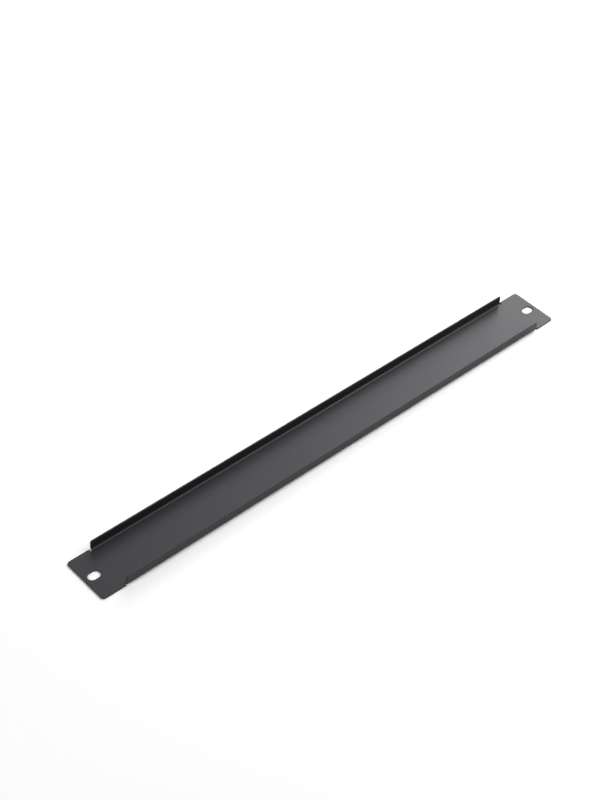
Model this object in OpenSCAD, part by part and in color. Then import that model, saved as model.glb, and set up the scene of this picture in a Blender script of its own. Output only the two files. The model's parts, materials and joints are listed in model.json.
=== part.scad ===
// Blanking panel for a 19 inch rack, one rack unit high.
// One piece of coated steel sheet: a flat front, an ear with a screw slot at each end,
// and a flange folded back along each long side between the ears.
// The front face lies on z = 0, the length runs along X, and the flanges rise along +Z.

/* [Front] */
// Length of the front, end to end
panel_length = 482.6; // [300:0.1:600]
// Height of the front: one rack unit less its running clearance
panel_height = 43.66; // [30:0.01:180]
// Thickness of the coated sheet
sheet_t = 1.2; // [0.8:0.1:2]
// Radius of the ears' corners
corner_r = 3; // [0.5:0.5:6]

/* [Flanges] */
// Length of each ear, from the panel's end to the end of the flanges
ear_length = 21.6; // [18:0.1:60]
// Depth from the front face to the flanges' free edges
flange_depth = 9.5; // [7:0.5:30]
// Inside radius of the folds
bend_r = 1.4; // [0.4:0.1:2]
// Radius of the flanges' free corners
flange_corner_r = 2; // [0.5:0.5:4]
// Width of the bend relief between a flange and an ear
relief_width = 1; // [0.6:0.1:2]
// How far a bend relief runs past the line where the fold starts
relief_past = 0.2; // [0.1:0.1:2]

/* [Screw slots] */
// Distance from the panel's end to the middle of a slot
slot_inset = 8.75; // [7.5:0.05:12]
// Length of a slot over its round ends
slot_length = 10.4; // [8:0.1:13]
// Width of a slot
slot_width = 7; // [4:0.1:7.8]

/* [Hidden] */

// Outside radius of the folds
outer_bend_r = bend_r + sheet_t;
// Length of the flanges
flange_length = panel_length - 2 * ear_length;
// Depth of a bend relief, from the panel's long edge
relief_depth = outer_bend_r + relief_past;
// Middle to middle of the two slots
slot_pitch = panel_length - 2 * slot_inset;
// How far a cutting or trimming body runs past what it cuts
overrun = 1;
coat_colour = "#3c3d3f";
$fn = 96;

// Rectangle about the origin with four round corners
module rounded_rectangle(length, height, r) {
    square([length - 2 * r, height], center = true);
    square([length, height - 2 * r], center = true);
    for (x = [-1, 1], y = [-1, 1])
        translate([x * (length / 2 - r), y * (height / 2 - r)]) circle(r);
}

// Slot about the origin with round ends, along X
module obround(length, width) {
    square([length - width, width], center = true);
    for (x = [-1, 1])
        translate([x * (length - width) / 2, 0]) circle(d = width);
}

// Upright rectangle on the X axis with its two lower corners round
module trough(width, depth, r) {
    translate([r - width / 2, 0]) square([width - 2 * r, depth]);
    translate([-width / 2, r]) square([width, depth - r]);
    for (x = [-1, 1])
        translate([x * (width / 2 - r), r]) circle(r);
}

// Section of the folded sheet: web, two bends of constant thickness and two flanges
module channel_section() {
    difference() {
        trough(panel_height, flange_depth, outer_bend_r);
        translate([0, sheet_t])
            trough(panel_height - 2 * sheet_t, flange_depth, bend_r);
    }
}

// Side outline of the flanges, which rounds their free corners
module flange_outline() {
    translate([0, flange_depth]) mirror([0, 1])
        trough(flange_length, flange_depth + overrun, flange_corner_r);
}

// The flanged stretch between the ears
module channel() {
    intersection() {
        rotate([90, 0, 90])
            linear_extrude(height = panel_length, center = true) channel_section();
        rotate([90, 0, 0])
            linear_extrude(height = panel_height + 2 * overrun, center = true) flange_outline();
    }
}

// Notch that frees a flange's end from the ear beside it, at one corner of the panel
module bend_relief(x, y) {
    translate([x * (flange_length + relief_width) / 2, y * panel_height / 2])
        square([relief_width, 2 * relief_depth], center = true);
}

// Flat outline of the web and both ears: the folds take up the strips beside the web
module flat_outline() {
    difference() {
        rounded_rectangle(panel_length, panel_height, corner_r);
        for (y = [-1, 1])
            translate([0, y * panel_height / 2])
                square([flange_length, 2 * outer_bend_r], center = true);
        for (x = [-1, 1], y = [-1, 1])
            bend_relief(x, y);
        for (x = [-1, 1])
            translate([x * slot_pitch / 2, 0]) obround(slot_length, slot_width);
    }
}

module panel() {
    color(coat_colour) union() {
        linear_extrude(height = sheet_t) flat_outline();
        channel();
    }
}

panel();
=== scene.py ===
"""Models and finishes a folded sheet-steel blanking panel for a 19 inch rack, on a pale studio floor."""

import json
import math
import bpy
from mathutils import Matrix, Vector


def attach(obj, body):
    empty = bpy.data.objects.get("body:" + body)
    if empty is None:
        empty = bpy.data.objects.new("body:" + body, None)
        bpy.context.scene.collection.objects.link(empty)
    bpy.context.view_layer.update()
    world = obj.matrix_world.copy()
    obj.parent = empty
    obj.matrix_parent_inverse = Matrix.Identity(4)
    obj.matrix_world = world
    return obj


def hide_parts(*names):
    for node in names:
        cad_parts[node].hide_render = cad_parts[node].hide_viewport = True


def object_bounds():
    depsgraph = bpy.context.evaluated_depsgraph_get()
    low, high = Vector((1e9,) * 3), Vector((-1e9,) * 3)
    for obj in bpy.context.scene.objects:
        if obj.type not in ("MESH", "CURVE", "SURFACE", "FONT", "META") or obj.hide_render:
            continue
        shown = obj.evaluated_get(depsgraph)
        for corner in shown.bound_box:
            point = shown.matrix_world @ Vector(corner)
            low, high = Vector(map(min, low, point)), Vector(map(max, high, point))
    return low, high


bl_info = {
    "name": "Rack blanking panel",
    "version": (1, 0, 0),
    "blender": (4, 5, 0),
    "location": "3D View > Sidebar > Rack Panel",
    "description": "Models a folded, powder-coated rack blanking panel and its studio",
    "category": "Object",
}

import bmesh
import bpy
from bpy.props import FloatProperty, FloatVectorProperty, IntProperty, PointerProperty
from mathutils import Matrix, Vector

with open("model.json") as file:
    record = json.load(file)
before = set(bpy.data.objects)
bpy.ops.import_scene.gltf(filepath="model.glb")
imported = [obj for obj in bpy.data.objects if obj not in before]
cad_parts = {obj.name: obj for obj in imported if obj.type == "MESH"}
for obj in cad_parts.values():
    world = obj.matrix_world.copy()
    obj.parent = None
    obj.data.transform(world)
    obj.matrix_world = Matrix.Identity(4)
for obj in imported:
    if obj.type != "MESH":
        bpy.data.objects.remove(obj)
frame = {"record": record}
CAD_LOW, CAD_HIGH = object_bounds()

MOUNTS = {mount["name"]: mount for mount in frame["record"]["mounts"]}
SLOTS = MOUNTS["screw_slots"]
MM = 0.001
# Points closer than this are the same point
NEAR = 0.01 * MM
# Faces that meet at a sharper angle than this meet in an edge that the coat rounds
SHARP = math.radians(40)
# Faces that meet at a flatter angle than this are shaded as one surface
SMOOTH = math.radians(35)
# Sheet between a slot and the square window in which its rim is modelled
SLOT_MARGIN = 2.2 * MM
# Size of the collar of even faces round a slot, against the slot's own
COLLAR = 1.15
# Name, azimuth from +X and elevation in degrees, and radiance of each softbox
SOFTBOXES = (
    ("right_top_softbox", 0, 60, 12.2),
    ("right_high_softbox", 15, 45, 7),
    ("back_right_softbox", 30, 30, 6.8),
    ("back_right_low_softbox", 30, 12, 9.6),
    ("back_softbox", 60, 30, 5.7),
    ("front_right_softbox", -30, 45, 11.1),
    ("front_low_softbox", -90, 12, 5.6),
    ("left_softbox", 180, 30, 11.7),
)


# ---------------------------------------------------------------- sizes and colours


class SheetSizes(bpy.types.PropertyGroup):
    """Sizes of the folded sheet"""

    length: FloatProperty(
        name="Length",
        description="Length of the front, end to end",
        default=CAD_HIGH.x - CAD_LOW.x,
        unit="LENGTH",
        precision=5,
    )
    height: FloatProperty(
        name="Height",
        description="Height of the front, one rack unit less its running clearance",
        default=CAD_HIGH.y - CAD_LOW.y,
        unit="LENGTH",
        precision=5,
    )
    depth: FloatProperty(
        name="Depth",
        description="Depth from the front face to the free edges of the flanges",
        default=CAD_HIGH.z - CAD_LOW.z,
        unit="LENGTH",
        precision=5,
    )
    thickness: FloatProperty(
        name="Thickness",
        description="Thickness of the coated sheet",
        default=SLOTS["pos_m"][2],
        unit="LENGTH",
        precision=5,
    )
    ear_length: FloatProperty(
        name="Ear length",
        description="Length of each ear, from the panel's end to the end of the flanges",
        default=21.6 * MM,
        unit="LENGTH",
        precision=5,
    )
    ear_corner: FloatProperty(
        name="Ear corner",
        description="Radius of the ears' corners",
        default=3 * MM,
        unit="LENGTH",
        precision=5,
    )
    flange_corner: FloatProperty(
        name="Flange corner",
        description="Radius of the flanges' free corners",
        default=2 * MM,
        unit="LENGTH",
        precision=5,
    )
    bend_radius: FloatProperty(
        name="Bend radius",
        description="Inside radius of the folds",
        default=1.4 * MM,
        unit="LENGTH",
        precision=5,
    )
    relief_width: FloatProperty(
        name="Relief width",
        description="Width of the bend relief between a flange and an ear",
        default=1 * MM,
        unit="LENGTH",
        precision=5,
    )
    relief_past: FloatProperty(
        name="Relief past the fold",
        description="How far a bend relief runs past the line where the fold starts",
        default=0.2 * MM,
        unit="LENGTH",
        precision=5,
    )
    slot_pitch: FloatProperty(
        name="Slot pitch",
        description="Middle to middle of the two screw slots",
        default=SLOTS["dims"]["spacing_x_mm"] * MM,
        unit="LENGTH",
        precision=5,
    )
    slot_length: FloatProperty(
        name="Slot length",
        description="Length of a screw slot over its round ends",
        default=SLOTS["dims"]["slot_length_mm"] * MM,
        unit="LENGTH",
        precision=5,
    )
    slot_width: FloatProperty(
        name="Slot width",
        description="Width of a screw slot",
        default=2 * SLOTS["dims"]["hole_r_mm"] * MM,
        unit="LENGTH",
        precision=5,
    )
    edge_radius: FloatProperty(
        name="Edge radius",
        description="How far the coat rounds the sheared edges of the sheet",
        default=0.4 * MM,
        unit="LENGTH",
        precision=5,
    )
    edge_steps: IntProperty(
        name="Edge steps",
        description="Faces across a rounded edge",
        default=4,
        min=1,
        max=12,
    )
    arc_steps: IntProperty(
        name="Arc steps",
        description="Faces in a quarter turn of a fold, corner or slot end",
        default=12,
        min=3,
        max=48,
    )


class CoatFinish(bpy.types.PropertyGroup):
    """Look of the powder coat"""

    colour: FloatVectorProperty(
        name="Colour",
        description="Colour of the coat",
        subtype="COLOR",
        default=(0.0107, 0.0107, 0.0125),
        min=0,
        max=1,
    )
    roughness: FloatProperty(
        name="Roughness",
        description="Roughness of the satin coat",
        default=0.45,
        min=0,
        max=1,
    )
    gloss: FloatProperty(
        name="Gloss",
        description="Strength of the coat's reflections, where 0.5 is plain lacquer",
        default=0.3,
        min=0,
        max=1,
    )
    gloss_colour: FloatVectorProperty(
        name="Gloss colour",
        description="Colour of the coat's reflections",
        subtype="COLOR",
        default=(0.97, 0.97, 1),
        min=0,
        max=1,
    )
    colour_mottle: FloatProperty(
        name="Colour mottle",
        description="Share by which soft patches of the coat are lighter or darker",
        default=0.06,
        min=0,
        max=1,
    )
    roughness_mottle: FloatProperty(
        name="Roughness mottle",
        description="How much rougher or smoother soft patches of the coat are",
        default=0.03,
        min=0,
        max=1,
    )
    mottle_size: FloatProperty(
        name="Mottle size",
        description="Size of the soft patches in the coat",
        default=30 * MM,
        unit="LENGTH",
        precision=5,
    )
    grain_size: FloatProperty(
        name="Grain size",
        description="Size of the fine bumps in the coat",
        default=0.6 * MM,
        unit="LENGTH",
        precision=5,
    )
    grain_depth: FloatProperty(
        name="Grain depth",
        description="Height of the fine bumps in the coat",
        default=0.012 * MM,
        unit="LENGTH",
        precision=6,
    )


class Studio(bpy.types.PropertyGroup):
    """Floor, light and camera"""

    azimuth: FloatProperty(
        name="Azimuth",
        description="Direction the camera looks from, round the panel",
        default=math.radians(-45.75),
        subtype="ANGLE",
    )
    elevation: FloatProperty(
        name="Elevation",
        description="Height of the camera above the horizon",
        default=math.radians(44.08),
        subtype="ANGLE",
    )
    roll: FloatProperty(
        name="Roll",
        description="Turn of the camera about the line it looks along",
        default=math.radians(4.91),
        subtype="ANGLE",
    )
    distance: FloatProperty(
        name="Distance",
        description="Distance from the camera to the plane through the panel's middle",
        default=1317 * MM,
        unit="LENGTH",
    )
    aim: FloatVectorProperty(
        name="Aim",
        description="How far to the right of and above the panel's middle the camera aims",
        size=2,
        default=(-23.83 * MM, 24.88 * MM),
        unit="LENGTH",
        precision=5,
    )
    lens: FloatProperty(
        name="Lens",
        description="Focal length in millimetres",
        default=75.07,
    )
    softbox_size: FloatProperty(
        name="Softbox size",
        description="Side of each square softbox",
        default=0.5,
        unit="LENGTH",
    )
    softbox_distance: FloatProperty(
        name="Softbox distance",
        description="Distance from each softbox to the panel's middle",
        default=1.6,
        unit="LENGTH",
    )
    floor_size: FloatProperty(
        name="Floor size",
        description="Radius of the round floor",
        default=6,
        unit="LENGTH",
    )
    floor_bounce: FloatProperty(
        name="Floor bounce",
        description="Share of the light on the floor that it throws back at the panel",
        default=0.8,
        min=0,
        max=1,
    )
    fade_start: FloatProperty(
        name="Fade start",
        description="Distance from the panel's middle where the floor starts to turn plain white",
        default=0.5,
        unit="LENGTH",
    )
    fade_end: FloatProperty(
        name="Fade end",
        description="Distance from the panel's middle where the floor is plain white",
        default=1,
        unit="LENGTH",
    )


# ---------------------------------------------------------------- tools for modelling


def only(obj):
    """Select one object and make it the active one."""
    bpy.ops.object.select_all(action="DESELECT")
    obj.select_set(True)
    bpy.context.view_layer.objects.active = obj


def middle(item):
    """The place of a vertex, or the middle of an edge or face."""
    if isinstance(item, bmesh.types.BMVert):
        return item.co
    return sum((v.co for v in item.verts), Vector()) / len(item.verts)


def pick(obj, part, test):
    """In edit mode, select the vertices, edges or faces whose middle passes the test."""
    modes = {"verts": "VERT", "edges": "EDGE", "faces": "FACE"}
    bpy.ops.mesh.select_mode(type=modes[part])
    bpy.ops.mesh.select_all(action="DESELECT")
    shape = bmesh.from_edit_mesh(obj.data)
    for item in getattr(shape, part):
        if test(middle(item)):
            item.select_set(True)
    shape.select_flush_mode()
    bmesh.update_edit_mesh(obj.data)


def cut(axis, places):
    """In edit mode, cut all faces by planes across an axis."""
    for place in places:
        bpy.ops.mesh.select_all(action="SELECT")
        bpy.ops.mesh.bisect(plane_co=axis * place, plane_no=axis)


def apply_modifier(obj, kind, **settings):
    """Add a modifier with these settings and apply it."""
    only(obj)
    modifier = obj.modifiers.new(kind.title(), kind)
    for name, value in settings.items():
        setattr(modifier, name, value)
    bpy.ops.object.modifier_apply(modifier=modifier.name)


# ---------------------------------------------------------------- the sheet


def blank_sheet(size, flange_end, fold_line, relief_end, window):
    """The flat sheet on z = 0, cut to outline, with a square window round each slot."""
    relief_side = flange_end + size.relief_width
    slot_x = size.slot_pitch / 2

    bpy.ops.object.select_all(action="DESELECT")
    bpy.ops.mesh.primitive_plane_add(size=1)
    obj = bpy.context.object
    obj.name = "coated_panel"
    obj.data.name = "coated_panel"
    bpy.ops.transform.resize(value=(size.length, size.height, 1))
    bpy.ops.object.transform_apply(location=True, rotation=True, scale=True)

    bpy.ops.object.mode_set(mode="EDIT")
    bpy.ops.mesh.select_all(action="SELECT")
    bpy.ops.mesh.bevel(affect="VERTICES", offset=size.ear_corner, segments=size.arc_steps)

    across = [flange_end, relief_side, slot_x - window.x, slot_x + window.x]
    cut(Vector((1, 0, 0)), [side * x for x in across for side in (-1, 1)])
    along = [fold_line, relief_end, window.y]
    cut(Vector((0, 1, 0)), [side * y for y in along for side in (-1, 1)])

    pick(obj, "faces", lambda p: abs(p.x) < flange_end and abs(p.y) > fold_line)
    bpy.ops.mesh.delete(type="FACE")
    pick(obj, "faces", lambda p: flange_end < abs(p.x) < relief_side and abs(p.y) > relief_end)
    bpy.ops.mesh.delete(type="FACE")
    pick(obj, "faces", lambda p: abs(abs(p.x) - slot_x) < window.x and abs(p.y) < window.y)
    bpy.ops.mesh.delete(type="FACE")
    return obj


def punch_slot(obj, size, side, window):
    """Fill the window in one ear with sheet round an obround slot."""
    slot_x = side * size.slot_pitch / 2
    radius = size.slot_width / 2
    stretch = (size.slot_length - size.slot_width) / 2

    def in_window(p):
        return abs(p.x - slot_x) < window.x + NEAR and abs(p.y) < window.y + NEAR

    def in_slot(p):
        return abs(p.x - slot_x) < window.x - NEAR and abs(p.y) < window.y - NEAR

    bpy.ops.mesh.primitive_circle_add(
        vertices=4 * size.arc_steps, radius=radius, location=(slot_x, 0, 0)
    )
    for end in (-1, 1):
        pick(obj, "verts", lambda p: in_slot(p) and end * (p.x - slot_x) > NEAR)
        bpy.ops.transform.translate(value=(end * stretch, 0, 0))
    # The collar keeps the rounded rim of the slot even
    pick(obj, "edges", in_slot)
    bpy.ops.mesh.extrude_edges_move()
    bpy.ops.transform.resize(value=(COLLAR, COLLAR, 1), center_override=(slot_x, 0, 0))

    def beyond_collar(p):
        # Shrunk back by the collar's size, its outer edges lie on the rim of the slot
        across, along = abs(p.x - slot_x) / COLLAR, p.y / COLLAR
        return in_window(p) and math.hypot(max(across - stretch, 0), along) > 0.97 * radius

    pick(obj, "edges", beyond_collar)
    bpy.ops.mesh.fill(use_beauty=True)


def fold_flange(obj, size, side, flange_end, fold_line):
    """Spin one long edge of the web up through a quarter turn, and draw it out to the flange."""
    bend = size.bend_radius + size.thickness
    pick(obj, "edges", lambda p: abs(p.x) < flange_end and abs(p.y - side * fold_line) < NEAR)
    bpy.ops.mesh.spin(
        steps=size.arc_steps,
        angle=-side * math.pi / 2,
        center=(0, side * fold_line, bend),
        axis=(1, 0, 0),
    )
    bpy.ops.mesh.extrude_edges_move(TRANSFORM_OT_translate={"value": (0, 0, size.depth - bend)})
    pick(obj, "verts", lambda p: p.z > size.depth - NEAR and side * p.y > 0)
    bpy.ops.mesh.bevel(
        affect="VERTICES", offset=size.flange_corner, segments=size.arc_steps, clamp_overlap=False
    )


def weigh_rims(obj):
    """Mark the sheet's outward edges for rounding, and leave the inner corners of the reliefs sharp."""
    shape = bmesh.new()
    shape.from_mesh(obj.data)
    weight = shape.edges.layers.float.new("bevel_weight_edge")
    for edge in shape.edges:
        edge[weight] = edge.is_convex and edge.calc_face_angle() > SHARP
    shape.to_mesh(obj.data)
    shape.free()


def give_thickness(obj, size):
    """Turn every face towards the back, thicken the sheet that way and round its edges."""
    bpy.ops.mesh.select_all(action="SELECT")
    bpy.ops.mesh.remove_doubles(threshold=NEAR)
    bpy.ops.mesh.normals_make_consistent(inside=False)
    shape = bmesh.from_edit_mesh(obj.data)
    web = min(shape.faces, key=lambda face: middle(face).length)
    if web.normal.z < 0:
        bpy.ops.mesh.flip_normals()
    bpy.ops.object.mode_set(mode="OBJECT")
    apply_modifier(obj, "SOLIDIFY", thickness=size.thickness, offset=1, use_even_offset=True)
    weigh_rims(obj)
    apply_modifier(
        obj,
        "BEVEL",
        width=size.edge_radius,
        segments=size.edge_steps,
        limit_method="WEIGHT",
        loop_slide=False,
        use_clamp_overlap=False,
    )
    bpy.ops.object.shade_smooth_by_angle(angle=SMOOTH)
    apply_modifier(obj, "WEIGHTED_NORMAL", keep_sharp=True)


# ---------------------------------------------------------------- materials


def add_node(tree, kind, **settings):
    """Add a node to a tree and set its properties."""
    node = tree.nodes.new(kind)
    for name, value in settings.items():
        setattr(node, name, value)
    return node


def coat_grain_group():
    """Fine bumps of a powder coat as a height, and its soft mottling as a mask."""
    group = bpy.data.node_groups.new("coat_grain", "ShaderNodeTree")
    face = group.interface
    face.new_socket("Grain Size", in_out="INPUT", socket_type="NodeSocketFloat")
    face.new_socket("Mottle Size", in_out="INPUT", socket_type="NodeSocketFloat")
    face.new_socket("Height", in_out="OUTPUT", socket_type="NodeSocketFloat")
    face.new_socket("Mottle", in_out="OUTPUT", socket_type="NodeSocketFloat")

    entry = add_node(group, "NodeGroupInput")
    leave = add_node(group, "NodeGroupOutput")
    place = add_node(group, "ShaderNodeTexCoord")
    for size, detail, roughness, result in (
        ("Grain Size", 2, 0.45, "Height"),
        ("Mottle Size", 3, 0.5, "Mottle"),
    ):
        per_metre = add_node(group, "ShaderNodeMath", operation="DIVIDE")
        per_metre.inputs[0].default_value = 1
        group.links.new(entry.outputs[size], per_metre.inputs[1])
        noise = add_node(group, "ShaderNodeTexNoise")
        noise.inputs["Detail"].default_value = detail
        noise.inputs["Roughness"].default_value = roughness
        group.links.new(place.outputs["Object"], noise.inputs["Vector"])
        group.links.new(per_metre.outputs[0], noise.inputs["Scale"])
        group.links.new(noise.outputs["Fac"], leave.inputs[result])
    return group


def powder_coat(finish):
    """Satin black powder coat with a fine grain."""
    material = bpy.data.materials.new("powder_coat")
    material.use_nodes = True
    tree = material.node_tree
    shader = tree.nodes["Principled BSDF"]
    shader.inputs["IOR"].default_value = 1.5
    shader.inputs["Specular IOR Level"].default_value = finish.gloss
    shader.inputs["Specular Tint"].default_value = (*finish.gloss_colour, 1)

    grain = add_node(tree, "ShaderNodeGroup", node_tree=coat_grain_group())
    grain.inputs["Grain Size"].default_value = finish.grain_size
    grain.inputs["Mottle Size"].default_value = finish.mottle_size

    shade = add_node(tree, "ShaderNodeValToRGB")
    ends = shade.color_ramp.elements
    for end, share in zip(ends, (1 - finish.colour_mottle, 1 + finish.colour_mottle)):
        end.color = (*(share * channel for channel in finish.colour), 1)
    tree.links.new(grain.outputs["Mottle"], shade.inputs["Fac"])
    tree.links.new(shade.outputs["Color"], shader.inputs["Base Color"])

    rough = add_node(tree, "ShaderNodeMapRange")
    rough.inputs["To Min"].default_value = finish.roughness - finish.roughness_mottle
    rough.inputs["To Max"].default_value = finish.roughness + finish.roughness_mottle
    tree.links.new(grain.outputs["Mottle"], rough.inputs["Value"])
    tree.links.new(rough.outputs["Result"], shader.inputs["Roughness"])

    bump = add_node(tree, "ShaderNodeBump")
    bump.inputs["Distance"].default_value = finish.grain_depth
    tree.links.new(grain.outputs["Height"], bump.inputs["Height"])
    tree.links.new(bump.outputs["Normal"], shader.inputs["Normal"])
    return material


def seen_directly(tree):
    """A value of 1 for camera, glossy and transmitted rays, and 0 for the rays that light things."""
    path = add_node(tree, "ShaderNodeLightPath")
    total = add_node(tree, "ShaderNodeMath", operation="MAXIMUM")
    tree.links.new(path.outputs["Is Camera Ray"], total.inputs[0])
    tree.links.new(path.outputs["Is Glossy Ray"], total.inputs[1])
    through = add_node(tree, "ShaderNodeMath", operation="MAXIMUM")
    tree.links.new(total.outputs[0], through.inputs[0])
    tree.links.new(path.outputs["Is Transmission Ray"], through.inputs[1])
    return through.outputs[0]


def floor_paint(studio):
    """Matt white floor with the panel's soft shadow, which turns plain white to the eye farther out."""
    material = bpy.data.materials.new("studio_floor")
    material.use_nodes = True
    tree = material.node_tree
    tree.nodes.remove(tree.nodes["Principled BSDF"])
    seen = seen_directly(tree)
    matt = add_node(tree, "ShaderNodeBsdfDiffuse")
    white = add_node(tree, "ShaderNodeMapRange")
    white.inputs["To Min"].default_value = studio.floor_bounce
    white.inputs["To Max"].default_value = 1
    tree.links.new(seen, white.inputs["Value"])
    tree.links.new(white.outputs["Result"], matt.inputs["Color"])

    place = add_node(tree, "ShaderNodeTexCoord")
    reach = add_node(tree, "ShaderNodeVectorMath", operation="LENGTH")
    tree.links.new(place.outputs["Object"], reach.inputs[0])
    far = add_node(tree, "ShaderNodeMapRange", interpolation_type="SMOOTHSTEP")
    far.inputs["From Min"].default_value = studio.fade_start
    far.inputs["From Max"].default_value = studio.fade_end
    tree.links.new(reach.outputs["Value"], far.inputs["Value"])
    amount = add_node(tree, "ShaderNodeMath", operation="MULTIPLY")
    tree.links.new(far.outputs["Result"], amount.inputs[0])
    tree.links.new(seen, amount.inputs[1])

    glow = add_node(tree, "ShaderNodeEmission")
    blend = add_node(tree, "ShaderNodeMixShader")
    tree.links.new(amount.outputs[0], blend.inputs["Fac"])
    tree.links.new(matt.outputs[0], blend.inputs[1])
    tree.links.new(glow.outputs[0], blend.inputs[2])
    tree.links.new(blend.outputs[0], tree.nodes["Material Output"].inputs["Surface"])
    return material


# ---------------------------------------------------------------- the studio


def white_surroundings():
    """White surroundings that show to the eye and in reflections, and light nothing else."""
    world = bpy.data.worlds.new("studio")
    world.use_nodes = True
    background = world.node_tree.nodes["Background"]
    background.inputs["Color"].default_value = (1, 1, 1, 1)
    world.node_tree.links.new(seen_directly(world.node_tree), background.inputs["Strength"])
    bpy.context.scene.world = world


def softbox(studio, name, azimuth, elevation, radiance):
    """A square area light that faces the panel from these angles in degrees, counted from +X."""
    turn, rise = math.radians(azimuth), math.radians(elevation)
    flat = Vector((math.cos(turn), math.sin(turn), 0))
    towards = flat * math.cos(rise) + Vector((0, 0, math.sin(rise)))
    bpy.ops.object.select_all(action="DESELECT")
    bpy.ops.object.light_add(type="AREA", location=towards * studio.softbox_distance)
    lamp = bpy.context.object
    lamp.name = name
    lamp.rotation_euler = (-towards).to_track_quat("-Z", "Y").to_euler()
    lamp.data.size = studio.softbox_size
    lamp.data.energy = radiance * math.pi * studio.softbox_size**2


def lay_floor(studio):
    """Round floor under the panel."""
    bpy.ops.object.select_all(action="DESELECT")
    bpy.ops.mesh.primitive_circle_add(vertices=96, radius=studio.floor_size, fill_type="NGON")
    floor = bpy.context.object
    floor.name = "floor"
    floor.data.materials.append(floor_paint(studio))


def place_camera(studio):
    """Camera on the chosen side of the panel, turned and aimed as the studio settings say."""
    azimuth, elevation, roll = studio.azimuth, studio.elevation, studio.roll
    right = Vector((math.cos(azimuth), math.sin(azimuth), 0))
    back = Vector((
        math.sin(azimuth) * math.cos(elevation),
        -math.cos(azimuth) * math.cos(elevation),
        math.sin(elevation),
    ))
    up = back.cross(right)
    right, up = (
        right * math.cos(roll) + up * math.sin(roll),
        up * math.cos(roll) - right * math.sin(roll),
    )
    place = back * studio.distance + right * studio.aim[0] + up * studio.aim[1]
    bpy.ops.object.select_all(action="DESELECT")
    bpy.ops.object.camera_add()
    camera = bpy.context.object
    camera.matrix_world = Matrix.Translation(place) @ Matrix((right, up, back)).transposed().to_4x4()
    camera.data.lens = studio.lens
    camera.data.sensor_width = 36
    camera.data.dof.use_dof = False
    bpy.context.scene.camera = camera


# ---------------------------------------------------------------- operators


class RACK_PANEL_OT_model_panel(bpy.types.Operator):
    """Model the folded sheet, coat it and put it in the place of the CAD panel"""

    bl_idname = "rack_panel.model_panel"
    bl_label = "Model Panel"

    def execute(self, context):
        size = context.scene.rack_sheet
        flange_end = size.length / 2 - size.ear_length
        fold_line = size.height / 2 - size.bend_radius - size.thickness
        relief_end = fold_line - size.relief_past
        window = Vector((size.slot_length, size.slot_width)) / 2 + Vector((SLOT_MARGIN, SLOT_MARGIN))

        obj = blank_sheet(size, flange_end, fold_line, relief_end, window)
        for side in (-1, 1):
            punch_slot(obj, size, side, window)
            fold_flange(obj, size, side, flange_end, fold_line)
        give_thickness(obj, size)
        obj.data.materials.append(powder_coat(context.scene.rack_coat))
        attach(obj, "root")
        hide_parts("panel")
        return {"FINISHED"}


class RACK_PANEL_OT_set_studio(bpy.types.Operator):
    """Lay the floor, hang the lights and place the camera"""

    bl_idname = "rack_panel.set_studio"
    bl_label = "Set Studio"

    def execute(self, context):
        studio = context.scene.rack_studio
        lay_floor(studio)
        white_surroundings()
        for name, azimuth, elevation, radiance in SOFTBOXES:
            softbox(studio, name, azimuth, elevation, radiance)
        place_camera(studio)
        context.scene.view_settings.view_transform = "Standard"
        return {"FINISHED"}


class RACK_PANEL_PT_sidebar(bpy.types.Panel):
    """Settings and steps of the rack blanking panel"""

    bl_idname = "RACK_PANEL_PT_sidebar"
    bl_label = "Rack Blanking Panel"
    bl_space_type = "VIEW_3D"
    bl_region_type = "UI"
    bl_category = "Rack Panel"

    def draw(self, context):
        layout = self.layout
        layout.use_property_split = True
        for title, group in (
            ("Sheet", context.scene.rack_sheet),
            ("Coat", context.scene.rack_coat),
            ("Studio", context.scene.rack_studio),
        ):
            box = layout.box()
            box.label(text=title)
            for name in group.__annotations__:
                box.prop(group, name)
        for step in (RACK_PANEL_OT_model_panel, RACK_PANEL_OT_set_studio):
            layout.operator(step.bl_idname)


CLASSES = (
    SheetSizes,
    CoatFinish,
    Studio,
    RACK_PANEL_OT_model_panel,
    RACK_PANEL_OT_set_studio,
    RACK_PANEL_PT_sidebar,
)


def register():
    for each in CLASSES:
        bpy.utils.register_class(each)
    bpy.types.Scene.rack_sheet = PointerProperty(type=SheetSizes)
    bpy.types.Scene.rack_coat = PointerProperty(type=CoatFinish)
    bpy.types.Scene.rack_studio = PointerProperty(type=Studio)


def unregister():
    del bpy.types.Scene.rack_studio
    del bpy.types.Scene.rack_coat
    del bpy.types.Scene.rack_sheet
    for each in reversed(CLASSES):
        bpy.utils.unregister_class(each)


def main():
    """Build the panel and its studio."""
    register()
    bpy.ops.rack_panel.model_panel()
    bpy.ops.rack_panel.set_studio()


if __name__ == "__main__":
    main()
